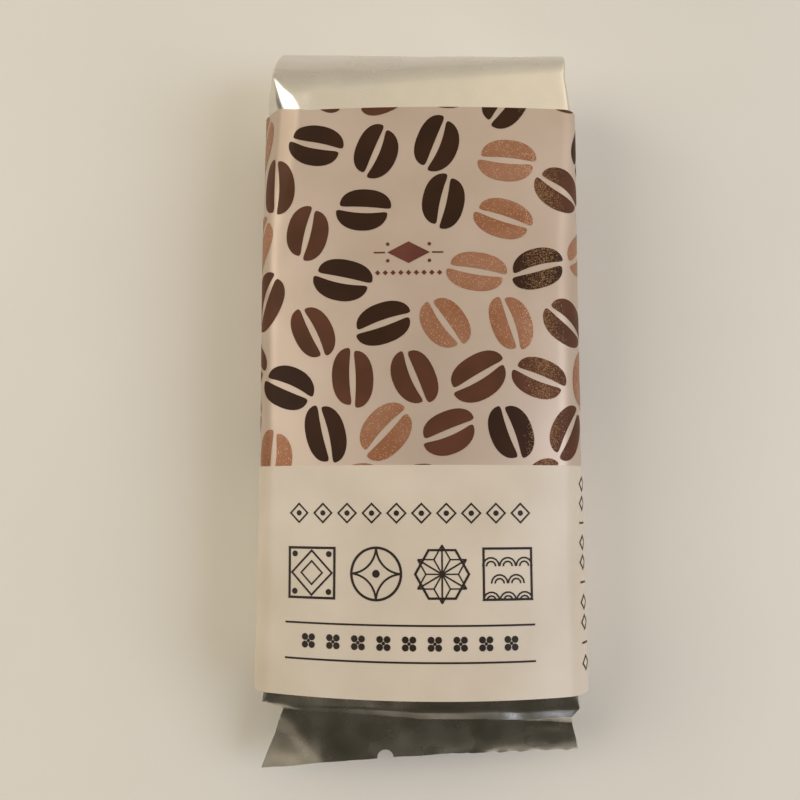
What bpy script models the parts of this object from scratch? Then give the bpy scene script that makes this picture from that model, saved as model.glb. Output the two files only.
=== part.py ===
"""A foil-packed yokan bar with a printed paper sleeve round it, lying flat.

Two solids: foil_pack, the shut gusset pouch with the bar inside it, and paper_sleeve, the band round
its middle. The frame is +Z up and +Y along the bar, from the flat seal fin at -Y to the end whose seal
is folded under at +Y. The origin is on the resting surface, below the middle of the whole.
"""

from dataclasses import dataclass, replace
from math import cos, pi, sin

import bmesh
import bpy

MM = 0.001

# Paper sleeve
SLEEVE_NEAR = -55.3 * MM
SLEEVE_FAR = 54.1 * MM
SLEEVE_HALF_WIDTH = 31.0 * MM
SIDE_BULGE = 0.8 * MM
PAPER = 0.35 * MM
GAP = 0.38 * MM
BOTTOM_RADIUS = 4.5 * MM
SLEEVE_STEPS = 12

# Height of the sleeve's left and right shoulders, and how far its top rises above the line between them
NEAR_LEFT, NEAR_RIGHT, NEAR_DOME = 20.6 * MM, 23.7 * MM, 6.3 * MM
FAR_LEFT, FAR_RIGHT, FAR_DOME = 25.4 * MM, 26.3 * MM, 1.8 * MM
LEFT_RADIUS, RIGHT_RADIUS = 3.2 * MM, 4.6 * MM

# Shoulders at the sleeve's far edge, reached over a run: the left one folded into two flat facets
FAR_LEFT_RADIUS, FAR_LEFT_FOLD = 6.7 * MM, 0.9
FAR_RIGHT_RADIUS, FAR_SHOULDER_RUN = 2.6 * MM, 30.0 * MM

# Edge between the two facets of a folded corner, as shares of its radius inwards and upwards
FACET_EDGE_IN, FACET_EDGE_UP = 0.45, 0.73

# Narrow place between the near end face and the flat seal fin
NECK_Y, NECK_SLANT, NECK_Z = -61.3 * MM, -0.047, 14.0 * MM
NECK_LEFT, NECK_RIGHT = -26.2 * MM, 29.0 * MM

# Seal fin, which widens outwards and droops
FIN_Y, FIN_SLANT, FIN_BEND, FIN_Z = -69.9 * MM, 0.058, -0.52 * MM, 10.0 * MM
FIN_LEFT, FIN_RIGHT = -30.65 * MM, 30.9 * MM
FIN_THICKNESS = 0.5 * MM
FIN_STEPS = 6
DROOP_CURVE = 0.3

# Soft crease that runs out from the neck's left end, and the fin's corner beyond it, turned down
CORNER_CREASE = (-25.8 * MM, -60.4 * MM)
CORNER_AWAY = (-0.822, -0.569)
CORNER_SLOPE, CORNER_ROUND = 0.21, 0.8 * MM
CORNER_REACH = (-0.15, -0.31)

# Tear notch in the fin's edge
NOTCH_X, NOTCH_Y, NOTCH_RADIUS = -6.6 * MM, -70.15 * MM, 1.6 * MM
NOTCH_SEGMENTS = 20

# Far end: top and underside curve towards each other to a straight fold at half height
FOLD_Y, FOLD_SLANT, FOLD_Z = 71.87 * MM, -0.012, 14.0 * MM
FOLD_LEFT, FOLD_RIGHT = -28.6 * MM, 29.7 * MM
FOLD_THICKNESS = 1.2 * MM
FOLD_GUSSET = 14.5 * MM
SHARP_EDGE = 0.35 * MM
SHARPENING_RATE = 3.0

# Seal folded back under the far end: its thickness, and the shares of the slope before it and on it
FLAP_THICKNESS = 0.6 * MM
BEFORE_FLAP = (0.0, 0.12, 0.24, 0.36, 0.46)
WITH_FLAP = (0.475, 0.62, 0.78, 0.92)

# Points round each section
SIDE_STEPS = 3
CORNER_STEPS = 4
TOP_STEPS = 20


@dataclass(frozen=True)
class Section:
    """Cross-section of the pack: a rounded box with a domed top and with sides that bulge or fold in."""

    y: float
    left: float
    right: float
    low: float
    top_left: float
    top_right: float
    slant: float = 0.0
    bend: float = 0.0
    dome: float = 0.0
    bulge: float = 0.0
    gusset: float = 0.0
    left_radius: float = 0.15 * MM
    right_radius: float = 0.15 * MM
    low_radius: float = 0.15 * MM
    left_fold: float = 0.0


# Near end face, from halfway up it over its crease to the rim beside the sleeve
END_FACE_SHARE, END_FACE_GUSSET = 0.55, 12.0 * MM
CREASE = Section(
    y=-59.95 * MM,
    slant=-0.0356,
    bend=0.52 * MM,
    left=-26.5 * MM,
    right=28.2 * MM,
    low=6.4 * MM,
    top_left=18.9 * MM,
    top_right=19.1 * MM,
    dome=2.25 * MM,
    gusset=7.0 * MM,
    left_radius=0.5 * MM,
    right_radius=0.5 * MM,
    low_radius=0.8 * MM,
)
BROW = Section(
    y=-58.8 * MM,
    slant=-0.02,
    bend=0.5 * MM,
    left=-29.6 * MM,
    right=29.8 * MM,
    low=2.6 * MM,
    top_left=18.7 * MM,
    top_right=19.1 * MM,
    dome=2.3 * MM,
    bulge=0.3 * MM,
    gusset=2.5 * MM,
    left_radius=0.6 * MM,
    right_radius=0.6 * MM,
    low_radius=2.0 * MM,
)
RIM = Section(
    y=-56.1 * MM,
    slant=-0.004,
    left=-29.7 * MM,
    right=29.75 * MM,
    low=1.0 * MM,
    top_left=19.0 * MM,
    top_right=20.3 * MM,
    dome=2.9 * MM,
    bulge=0.7 * MM,
    left_radius=1.6 * MM,
    right_radius=1.9 * MM,
    low_radius=3.5 * MM,
)

# Where the far end's top and underside begin to curve, and the section between there and the sleeve
TURN = Section(
    y=59.6 * MM,
    slant=0.07,
    left=-29.2 * MM,
    right=28.2 * MM,
    low=0.9 * MM,
    top_left=25.0 * MM,
    top_right=25.9 * MM,
    dome=1.4 * MM,
    bulge=1.5 * MM,
    left_radius=3.6 * MM,
    right_radius=0.9 * MM,
    low_radius=2.0 * MM,
    left_fold=1.0,
)
RUN_OUT_Y, RUN_OUT_SHARE, RUN_OUT_RADIUS = 55.5 * MM, 0.3, 1.2 * MM


def mix(a, b, t):
    return a + (b - a) * t


def smooth(t):
    return t * t * (3.0 - 2.0 * t)


def between(a, b, t):
    """The section a share t of the way from a to b."""
    names = Section.__dataclass_fields__
    return Section(**{name: mix(getattr(a, name), getattr(b, name), t) for name in names})


def corner_points(radius, fold):
    """Points of a corner, inwards and upwards from its start; fold turns it from round to two facets."""
    points = []
    for i in range(1, CORNER_STEPS + 1):
        share = i / CORNER_STEPS
        upper = max(0.0, 2.0 * share - 1.0)
        lower = min(1.0, 2.0 * share)
        folded_in = mix(FACET_EDGE_IN * lower, 1.0, upper)
        folded_up = mix(FACET_EDGE_UP * lower, 1.0, upper)
        inwards = mix(1.0 - cos(0.5 * pi * share), folded_in, fold)
        upwards = mix(sin(0.5 * pi * share), folded_up, fold)
        points.append((radius * inwards, radius * upwards))
    return points


def half_outline(half_width, half_height, radii, folds, gusset):
    """Upper half of a rounded box about its middle, from its left side over the top to its right side."""
    points = []
    for side, radius, fold in zip((-1, 1), radii, folds):
        rise = half_height - radius
        shares = [i / SIDE_STEPS for i in range(SIDE_STEPS + 1)]
        wall = [(-half_width + gusset * (1 - share), rise * share) for share in shares]
        corner = [(-half_width + inwards, rise + up) for inwards, up in corner_points(radius, fold)]
        points.append([(side * -x, z) for x, z in wall + corner])
    left, right = points
    x_start, x_end = left[-1][0], right[-1][0]
    top = [(mix(x_start, x_end, i / TOP_STEPS), half_height) for i in range(1, TOP_STEPS)]
    return left + top + right[::-1]


def outline(section):
    """Closed outline of a section, as points in space, from its left side over the top and back below."""
    half_width = 0.5 * (section.right - section.left)
    middle_x = 0.5 * (section.right + section.left)
    half_height = 0.25 * (section.top_left + section.top_right) - 0.5 * section.low
    radii = (section.left_radius, section.right_radius)
    low_radii = (section.low_radius, section.low_radius)
    upper = half_outline(half_width, half_height, radii, (section.left_fold, 0.0), section.gusset)
    lower = half_outline(half_width, half_height, low_radii, (0.0, 0.0), section.gusset)
    flat = upper + [(x, -z) for x, z in lower[-2:0:-1]]
    points = []
    for x, z in flat:
        across = x / half_width
        up = 0.5 * (z / half_height + 1.0)
        top = mix(section.top_left, section.top_right, 0.5 * (across + 1.0))
        height = mix(section.low, top, up) + section.dome * up * (1.0 - across * across)
        place = middle_x + x + across * section.bulge * 4.0 * up * (1.0 - up)
        along = section.y + section.slant * place + section.bend * across * across
        points.append((place, along, height))
    return points


def sleeve_section(y, inset):
    """The sleeve's outer outline at y, moved inwards by inset."""
    t = smooth((SLEEVE_FAR - y) / (SLEEVE_FAR - SLEEVE_NEAR))
    far_share = 1.0 - smooth(min(1.0, (SLEEVE_FAR - y) / FAR_SHOULDER_RUN))
    half_width = SLEEVE_HALF_WIDTH - SIDE_BULGE - inset
    return Section(
        y=y,
        left=-half_width,
        right=half_width,
        low=inset,
        top_left=mix(FAR_LEFT, NEAR_LEFT, t) - inset,
        top_right=mix(FAR_RIGHT, NEAR_RIGHT, t) - inset,
        dome=mix(FAR_DOME, NEAR_DOME, t),
        bulge=SIDE_BULGE,
        left_radius=mix(LEFT_RADIUS, FAR_LEFT_RADIUS, far_share) - inset,
        right_radius=mix(RIGHT_RADIUS, FAR_RIGHT_RADIUS, far_share) - inset,
        low_radius=BOTTOM_RADIUS - inset,
        left_fold=FAR_LEFT_FOLD * far_share,
    )


def sleeve_stations():
    return [mix(SLEEVE_NEAR, SLEEVE_FAR, i / SLEEVE_STEPS) for i in range(SLEEVE_STEPS + 1)]


def neck_section():
    half = 0.5 * FIN_THICKNESS
    return Section(
        y=NECK_Y,
        slant=NECK_SLANT,
        left=NECK_LEFT,
        right=NECK_RIGHT,
        low=NECK_Z - half,
        top_left=NECK_Z + half,
        top_right=NECK_Z + half,
    )


def fin_sections():
    """The seal fin from its edge to just before the neck."""
    half = 0.5 * FIN_THICKNESS
    neck = neck_section()
    edge = replace(neck, y=FIN_Y, slant=FIN_SLANT, bend=FIN_BEND, left=FIN_LEFT, right=FIN_RIGHT)
    sections = []
    for i in range(FIN_STEPS):
        out = 1.0 - i / FIN_STEPS
        height = mix(NECK_Z, FIN_Z, mix(out, out * out, DROOP_CURVE))
        top = height + half
        sections.append(replace(between(neck, edge, out), low=height - half, top_left=top, top_right=top))
    return sections


def turned_down(points):
    """Part of the fin's outline with its left corner turned down about the soft crease."""
    turned = []
    for x, y, z in points:
        away = (x - CORNER_CREASE[0]) * CORNER_AWAY[0] + (y - CORNER_CREASE[1]) * CORNER_AWAY[1]
        away = max(0.0, away)
        drop = CORNER_SLOPE * away * away / (away + CORNER_ROUND)
        turned.append((x + CORNER_REACH[0] * drop, y + CORNER_REACH[1] * drop, z - drop))
    return turned


def near_end_sections():
    """From the neck up the steep end face, over the crease and on to the sleeve's near edge."""
    neck = neck_section()
    end_face = replace(between(neck, CREASE, END_FACE_SHARE), gusset=END_FACE_GUSSET)
    return [neck, end_face, CREASE, BROW, RIM]


def fold_section():
    half = 0.5 * FOLD_THICKNESS
    return Section(
        y=FOLD_Y,
        slant=FOLD_SLANT,
        left=FOLD_LEFT,
        right=FOLD_RIGHT,
        low=FOLD_Z - half,
        top_left=FOLD_Z + half,
        top_right=FOLD_Z + half,
        left_radius=SHARP_EDGE,
        right_radius=SHARP_EDGE,
        low_radius=SHARP_EDGE,
    )


def slope_section(t, flap):
    """A share t of the way to the fold, the underside lowered by the thickness of the folded seal."""
    fold = fold_section()
    drop = t * t
    sharpened = between(TURN, fold, min(1.0, SHARPENING_RATE * t))
    return replace(
        between(TURN, fold, t),
        low=mix(TURN.low, fold.low, drop) - flap,
        top_left=mix(TURN.top_left, fold.top_left, drop),
        top_right=mix(TURN.top_right, fold.top_right, drop),
        gusset=FOLD_GUSSET * t,
        left_radius=sharpened.left_radius,
        right_radius=sharpened.right_radius,
        low_radius=sharpened.low_radius,
        left_fold=TURN.left_fold,
    )


def far_end_sections():
    """From the sleeve's far edge to the straight fold."""
    wrapped = sleeve_section(SLEEVE_FAR, PAPER + GAP)
    run_out = replace(
        between(wrapped, TURN, RUN_OUT_SHARE), slant=0.0, y=RUN_OUT_Y, right_radius=RUN_OUT_RADIUS
    )
    plain = [slope_section(t, 0.0) for t in BEFORE_FLAP]
    thick = [slope_section(t, FLAP_THICKNESS) for t in WITH_FLAP]
    return [run_out] + plain + thick + [fold_section()]


def loft(bm, outlines):
    """Rings of points, one for each outline, joined by four-sided faces."""
    rings = [[bm.verts.new(point) for point in points] for points in outlines]
    for ring, following in zip(rings, rings[1:]):
        for i in range(len(ring)):
            j = (i + 1) % len(ring)
            bm.faces.new((ring[i], ring[j], following[j], following[i]))
    return rings


def close_end(bm, ring):
    """Closes a thin end with one face at each rounded side and strips from the top's points downwards."""
    count = len(ring)
    half = count // 2
    rounded = SIDE_STEPS + CORNER_STEPS
    bm.faces.new([ring[i] for i in range(-rounded, rounded + 1)])
    bm.faces.new([ring[half + i] for i in range(-rounded, rounded + 1)])
    for i in range(rounded, half - rounded):
        bm.faces.new((ring[i], ring[i + 1], ring[count - i - 1], ring[count - i]))


@dataclass(frozen=True)
class Finish:
    """Plain look of one material."""

    name: str
    colour: tuple
    roughness: float
    metallic: float


FOIL = Finish("aluminium foil laminate", (0.78, 0.76, 0.72, 1.0), 0.3, 1.0)
SLEEVE_PAPER = Finish("coated sleeve paper", (0.72, 0.60, 0.48, 1.0), 0.45, 0.0)
CUTTER_GREY = Finish("cutter grey", (0.5, 0.5, 0.5, 1.0), 0.5, 0.0)
SHARP_ANGLE = pi / 6


def principled(finish):
    material = bpy.data.materials.new(finish.name)
    material.use_nodes = True
    shader = material.node_tree.nodes["Principled BSDF"]
    shader.inputs["Base Color"].default_value = finish.colour
    shader.inputs["Roughness"].default_value = finish.roughness
    shader.inputs["Metallic"].default_value = finish.metallic
    return material


def add_object(name, bm, finish):
    bmesh.ops.recalc_face_normals(bm, faces=bm.faces)
    mesh = bpy.data.meshes.new(name)
    bm.to_mesh(mesh)
    bm.free()
    mesh.shade_smooth()
    mesh.set_sharp_from_angle(angle=SHARP_ANGLE)
    mesh.materials.append(principled(finish))
    obj = bpy.data.objects.new(name, mesh)
    bpy.context.scene.collection.objects.link(obj)
    return obj


def build_sleeve():
    """The paper band: its outer skin, thickened inwards."""
    bm = bmesh.new()
    loft(bm, [outline(sleeve_section(y, 0.0)) for y in sleeve_stations()])
    sleeve = add_object("paper_sleeve", bm, SLEEVE_PAPER)
    wall = sleeve.modifiers.new("paper thickness", "SOLIDIFY")
    wall.thickness = PAPER
    wall.offset = -1.0
    wall.use_even_offset = True
    wall.use_rim = True
    return sleeve


def build_notch_cutter():
    """Upright cylinder that takes the half-round tear notch out of the fin's edge."""
    bm = bmesh.new()
    bmesh.ops.create_cone(
        bm,
        cap_ends=True,
        segments=NOTCH_SEGMENTS,
        radius1=NOTCH_RADIUS,
        radius2=NOTCH_RADIUS,
        depth=FIN_Z,
    )
    cutter = add_object("tear_notch_cutter", bm, CUTTER_GREY)
    cutter.location = (NOTCH_X, NOTCH_Y, FIN_Z)
    cutter.hide_render = True
    cutter.display_type = "WIRE"
    return cutter


def build_pack():
    """The shut foil pouch, solid because nothing inside it can be seen."""
    fin = [turned_down(outline(section)) for section in fin_sections()]
    wrapped = [sleeve_section(y, PAPER + GAP) for y in sleeve_stations()]
    bm = bmesh.new()
    rings = loft(bm, fin + [outline(s) for s in near_end_sections() + wrapped + far_end_sections()])
    close_end(bm, rings[0])
    close_end(bm, rings[-1])
    pack = add_object("foil_pack", bm, FOIL)
    cut = pack.modifiers.new("tear notch", "BOOLEAN")
    cut.operation = "DIFFERENCE"
    cut.solver = "EXACT"
    cut.object = build_notch_cutter()
    return pack


def main():
    for obj in list(bpy.data.objects):
        bpy.data.objects.remove(obj)
    build_pack()
    build_sleeve()


main()
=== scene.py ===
import logging
import random
from dataclasses import dataclass, replace
from enum import Enum
from itertools import product
from math import cos, pi, radians, sin
from typing import Any, Callable, Sequence

import bpy
import numpy as np
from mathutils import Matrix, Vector


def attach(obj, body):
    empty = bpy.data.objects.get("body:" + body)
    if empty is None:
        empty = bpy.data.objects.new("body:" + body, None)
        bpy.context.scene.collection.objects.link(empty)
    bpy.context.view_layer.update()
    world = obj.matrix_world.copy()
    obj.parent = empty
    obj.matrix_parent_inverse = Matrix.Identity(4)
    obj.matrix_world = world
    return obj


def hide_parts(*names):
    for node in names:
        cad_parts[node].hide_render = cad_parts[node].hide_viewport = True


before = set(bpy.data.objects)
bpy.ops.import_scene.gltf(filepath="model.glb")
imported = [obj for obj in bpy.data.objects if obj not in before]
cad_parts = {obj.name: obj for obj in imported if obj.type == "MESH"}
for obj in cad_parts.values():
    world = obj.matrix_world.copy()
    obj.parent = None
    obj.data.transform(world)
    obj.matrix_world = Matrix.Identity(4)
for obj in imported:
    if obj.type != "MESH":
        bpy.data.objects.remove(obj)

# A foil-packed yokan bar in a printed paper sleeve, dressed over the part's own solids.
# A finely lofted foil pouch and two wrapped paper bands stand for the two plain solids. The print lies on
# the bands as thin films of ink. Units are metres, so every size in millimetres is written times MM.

LOG = logging.getLogger("yokan_pack")
MM = 0.001
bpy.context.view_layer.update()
BODY = "root"


# Colours, node helpers and finishes


# Depth of the orange-peel pits of coated paper and of the ink on it.
PEEL_DEPTH = 0.02 * MM


def linear(code: str) -> tuple[float, float, float, float]:
    """Turns an sRGB hex colour to linear light.

    Args:
        code: six hex digits after a hash sign.

    Returns:
        Red, green, blue and full opacity.
    """
    channels = [int(code[i : i + 2], 16) / 255.0 for i in (1, 3, 5)]
    red, green, blue = (c / 12.92 if c <= 0.04045 else ((c + 0.055) / 1.055) ** 2.4 for c in channels)
    return (red, green, blue, 1.0)


def add_node(
    tree: bpy.types.NodeTree,
    kind: str,
    settings: dict[str, Any] | None = None,
    inputs: dict[str | int, Any] | None = None,
    stops: Sequence[tuple[float, Any]] = (),
) -> bpy.types.Node:
    """Adds one shader node with its settings, values and links.

    Args:
        tree: the node tree that takes it.
        kind: Blender's name for the kind of node.
        settings: properties of the node by name.
        inputs: values, or sockets to link from, by input name or number.
        stops: a colour ramp's pairs of position and linear colour, lowest first.

    Returns:
        The new node.
    """
    node = tree.nodes.new(kind)
    for name, value in (settings or {}).items():
        setattr(node, name, value)
    for name, value in (inputs or {}).items():
        if isinstance(value, bpy.types.NodeSocket):
            tree.links.new(value, node.inputs[name])
        else:
            node.inputs[name].default_value = value
    if stops:
        elements = node.color_ramp.elements
        while len(elements) < len(stops):
            elements.new(0.5)
        for element, (position, colour) in zip(elements, stops):
            element.position = position
            element.color = colour
    return node


@dataclass(frozen=True)
class Finish:
    """A finish that one material carries: its name and its plain shader values."""

    name: str
    roughness: float
    metallic: float = 0.0
    ior: float = 1.5

    def start(self) -> tuple[bpy.types.Material, bpy.types.NodeTree, bpy.types.Node, Any]:
        """Makes the material with its shader.

        Returns:
            The material, its tree, its shader node and the Object coordinate output.
        """
        material = bpy.data.materials.new(self.name)
        material.use_nodes = True
        tree = material.node_tree
        shader = tree.nodes["Principled BSDF"]
        shader.inputs["Roughness"].default_value = self.roughness
        shader.inputs["Metallic"].default_value = self.metallic
        if self.metallic < 1.0:
            shader.inputs["IOR"].default_value = self.ior
        place = add_node(tree, "ShaderNodeTexCoord").outputs["Object"]
        return material, tree, shader, place

    def clouded(
        self,
        tree: bpy.types.NodeTree,
        place: Any,
        size: float,
        detail: float,
        stops: Sequence[tuple[float, str]],
    ) -> Any:
        """A colour that drifts softly from place to place.

        Args:
            tree: the material's node tree.
            place: the Object coordinate output.
            size: distance over which it drifts.
            detail: how many finer layers the drift has.
            stops: pairs of drift and sRGB hex colour, lowest first.

        Returns:
            The colour output.
        """
        cloud = add_node(
            tree,
            "ShaderNodeTexNoise",
            inputs={"Vector": place, "Scale": 1.0 / size, "Detail": detail},
        ).outputs["Fac"]
        colours = [(share, linear(code)) for share, code in stops]
        return add_node(tree, "ShaderNodeValToRGB", inputs={"Fac": cloud}, stops=colours).outputs["Color"]

    def add_peel(
        self, tree: bpy.types.NodeTree, shader: bpy.types.Node, place: Any, size: float, strength: float
    ) -> None:
        """Gives a coated or printed sheet its faint orange-peel texture.

        Args:
            tree: the material's node tree.
            shader: its shader node.
            place: the Object coordinate output.
            size: width of one pit.
            strength: how strongly the pits show.
        """
        pits = add_node(
            tree, "ShaderNodeTexNoise", inputs={"Vector": place, "Scale": 1.0 / size, "Detail": 2.0}
        ).outputs["Fac"]
        bump = add_node(
            tree, "ShaderNodeBump", inputs={"Strength": strength, "Distance": PEEL_DEPTH, "Height": pits}
        ).outputs["Normal"]
        tree.links.new(bump, shader.inputs["Normal"])


@dataclass(frozen=True)
class PrintedPaper(Finish):
    """Coated paper with an offset printed ground, plain or pearly.

    A pearl ink catches light from behind the pack, so it is bright far off and duller near the panel. The
    coating leaves a faint orange-peel texture.
    """

    colour: str = "#d9ccb9"
    shade: str = "#f2f0ec"
    light: str = "#ffffff"
    cloud_size: float = 14.0 * MM
    peel_size: float = 0.7 * MM
    peel_strength: float = 0.25

    def material(self) -> bpy.types.Material:
        """Makes the printed paper's material."""
        material, tree, shader, place = self.start()
        tone = self.clouded(tree, place, self.cloud_size, 3.0, ((0.3, self.shade), (0.7, self.light)))
        colour = add_node(
            tree,
            "ShaderNodeMix",
            {"data_type": "RGBA", "blend_type": "MULTIPLY"},
            {0: 1.0, 6: linear(self.colour), 7: tone},
        ).outputs[2]
        tree.links.new(colour, shader.inputs["Base Color"])
        self.add_peel(tree, shader, place, self.peel_size, self.peel_strength)
        return material


@dataclass(frozen=True)
class CutPaper(Finish):
    """Bare cut edge of the paper: white fibre with a rough, dry look."""

    colour: str = "#e9e4d6"
    shade: str = "#cfc7b4"
    fibre_size: float = 0.4 * MM

    def material(self) -> bpy.types.Material:
        """Makes the cut edge's material."""
        material, tree, shader, place = self.start()
        stops = ((0.3, self.shade), (0.65, self.colour))
        colour = self.clouded(tree, place, self.fibre_size, 4.0, stops)
        tree.links.new(colour, shader.inputs["Base Color"])
        return material


@dataclass(frozen=True)
class OffsetInk(Finish):
    """Offset printing ink on coated paper: a thin satin film whose tone drifts a little."""

    colour: str = "#382215"
    drift: str = "#462b1b"
    drift_size: float = 9.0 * MM
    peel_size: float = 0.6 * MM
    peel_strength: float = 0.3

    def material(self) -> bpy.types.Material:
        """Makes the ink's material."""
        material, tree, shader, place = self.start()
        stops = ((0.35, self.colour), (0.65, self.drift))
        colour = self.clouded(tree, place, self.drift_size, 2.0, stops)
        tree.links.new(self.flecked(tree, place, colour), shader.inputs["Base Color"])
        self.add_peel(tree, shader, place, self.peel_size, self.peel_strength)
        return material

    def flecked(self, tree: bpy.types.NodeTree, place: Any, colour: Any) -> Any:
        """The plain ink colour; an ink with metal flakes adds them here.

        Args:
            tree: the material's node tree.
            place: the Object coordinate output.
            colour: the ink's colour output.

        Returns:
            The colour output to use.
        """
        return colour


@dataclass(frozen=True)
class FlakedInk(OffsetInk):
    """Offset ink with metal flakes: few show on the flat top, and along the right shoulder, where the
    highlight falls, many more are painted in as glints (a painted highlight).

    Real flakes are about 0.02 mm, too fine to show, so they are drawn 0.13 mm apart.
    """

    flake_colour: str = "#a98259"
    flake_size: float = 0.13 * MM
    flake_strength: float = 0.6
    flat_share: float = 0.0
    # Painted glints: share of cells shown in flake colour at the middle of the band along the right
    # shoulder, where the highlight falls, then the band's middle and reach across.
    glint_band_share: float = 0.42
    turn_middle: float = 23.0 * MM
    glint_band_reach: float = 4.5 * MM

    def flecked(self, tree: bpy.types.NodeTree, place: Any, colour: Any) -> Any:
        """Scatters bright flakes through the ink, densest in a band along the right shoulder, where they
        are painted glints standing in for the shoulder's highlight.

        Args:
            tree: the material's node tree.
            place: the Object coordinate output.
            colour: the ink's colour output.

        Returns:
            The flecked colour output.
        """
        cells = add_node(
            tree, "ShaderNodeTexVoronoi", inputs={"Vector": place, "Scale": 1.0 / self.flake_size}
        ).outputs["Color"]
        pick = add_node(tree, "ShaderNodeSeparateColor", inputs={0: cells}).outputs[0]
        across = add_node(tree, "ShaderNodeSeparateXYZ", inputs={0: place}).outputs["X"]
        # Painted highlight: the flake share is largest at the band's middle over the right shoulder and
        # falls to the flat share at its reach.
        middle = {0: across, 1: self.turn_middle}
        shift = add_node(tree, "ShaderNodeMath", {"operation": "SUBTRACT"}, middle)
        away = add_node(tree, "ShaderNodeMath", {"operation": "ABSOLUTE"}, {0: shift.outputs[0]})
        ends = {1: 0.0, 2: self.glint_band_reach, 3: 1.0 - self.glint_band_share, 4: 1.0 - self.flat_share}
        least = add_node(tree, "ShaderNodeMapRange", inputs={0: away.outputs[0], **ends}).outputs[0]
        bright = add_node(tree, "ShaderNodeMath", {"operation": "GREATER_THAN"}, {0: pick, 1: least})
        shown = {0: bright.outputs[0], 1: self.flake_strength}
        share = add_node(tree, "ShaderNodeMath", {"operation": "MULTIPLY"}, shown)
        return add_node(
            tree,
            "ShaderNodeMix",
            {"data_type": "RGBA", "blend_type": "MIX"},
            {0: share.outputs[0], 6: colour, 7: linear(self.flake_colour)},
        ).outputs[2]


@dataclass(frozen=True)
class FoilLaminate(Finish):
    """Aluminium foil laminated with clear film: a soft mirror with dents, creases and a satin haze."""

    colour: str = "#dcd8d0"
    dent_size: float = 7.0 * MM
    dent_depth: float = 0.25 * MM
    dent_strength: float = 0.5
    streak_width: float = 0.8 * MM
    streak_length: float = 9.0 * MM
    streak_depth: float = 0.03 * MM
    streak_strength: float = 0.3
    clearing: float = 0.05
    clouding: float = 0.06

    def material(self) -> bpy.types.Material:
        """Makes the foil's material."""
        material, tree, shader, place = self.start()
        shader.inputs["Base Color"].default_value = linear(self.colour)
        dents = add_node(
            tree,
            "ShaderNodeTexNoise",
            inputs={"Vector": place, "Scale": 1.0 / self.dent_size, "Detail": 2.0},
        ).outputs["Fac"]
        stretched = add_node(
            tree,
            "ShaderNodeMapping",
            inputs={
                "Vector": place,
                "Scale": (1.0 / self.streak_width, 1.0 / self.streak_length, 1.0 / self.streak_length),
            },
        ).outputs["Vector"]
        streaks = add_node(
            tree, "ShaderNodeTexNoise", inputs={"Vector": stretched, "Scale": 1.0, "Detail": 3.0}
        ).outputs["Fac"]
        soft = add_node(
            tree,
            "ShaderNodeBump",
            inputs={"Strength": self.dent_strength, "Distance": self.dent_depth, "Height": dents},
        ).outputs["Normal"]
        crisp = add_node(
            tree,
            "ShaderNodeBump",
            inputs={
                "Strength": self.streak_strength,
                "Distance": self.streak_depth,
                "Height": streaks,
                "Normal": soft,
            },
        ).outputs["Normal"]
        tree.links.new(crisp, shader.inputs["Normal"])
        ends = {1: 0.3, 2: 0.7, 3: self.roughness - self.clearing, 4: self.roughness + self.clouding}
        haze = add_node(tree, "ShaderNodeMapRange", {"clamp": False}, {0: dents, **ends}).outputs[0]
        tree.links.new(haze, shader.inputs["Roughness"])
        return material


@dataclass(frozen=True)
class PaleFloor(Finish):
    """Matte studio board under the pack, pale and even."""

    colour: str = "#e6e1d6"
    shade: str = "#e0dbcf"
    cloud_size: float = 60.0 * MM

    def material(self) -> bpy.types.Material:
        """Makes the floor's material."""
        material, tree, shader, place = self.start()
        colour = self.clouded(tree, place, self.cloud_size, 3.0, ((0.2, self.shade), (0.8, self.colour)))
        tree.links.new(colour, shader.inputs["Base Color"])
        return material


class Ink(Enum):
    """The inks of the print."""

    # The three bean inks carry painted glints: flake colour mixed in along the right shoulder, where the
    # highlight falls. Only the copper also shows a few flakes on the flat top.
    DARK = FlakedInk(
        "dark brown offset ink, gold flakes", 0.5, ior=1.24, colour="#2f1a09", drift="#391f0e"
    )
    BROWN = FlakedInk(
        "red-brown offset ink, gold flakes", 0.5, ior=1.24, colour="#4f301c", drift="#5f3826"
    )
    COPPER = FlakedInk(
        "copper metallic offset ink, painted glints",
        0.42,
        0.3,
        colour="#946142",
        drift="#a07256",
        ior=1.35,
        flake_colour="#d8b694",
        flat_share=0.06,
    )
    LINE = OffsetInk("brown-black offset ink", 0.5, colour="#241a13", drift="#2d2119", ior=1.35)
    RUSSET = OffsetInk("russet offset ink", 0.5, colour="#5d2d1f", drift="#69362a", ior=1.35)


FIELD_PAPER = PrintedPaper("coated paper, pearly offset print", 0.42, 0.34, colour="#c6b3a2")
PANEL_PAPER = PrintedPaper("coated paper, plain cream", 0.42, colour="#d9ccb9")
PAPER_EDGE = CutPaper("paper, cut edge", 0.85)
FOIL = FoilLaminate("aluminium foil laminate, creased", 0.26, 1.0)
FLOOR = PaleFloor("matte board", 0.8)


# Modelling helpers


def mix(a: Any, b: Any, t: Any) -> Any:
    """The value a share t of the way from a to b."""
    return a + (b - a) * t


def smooth(t: Any) -> Any:
    """Eases a share in and out."""
    return t * t * (3.0 - 2.0 * t)


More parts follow.
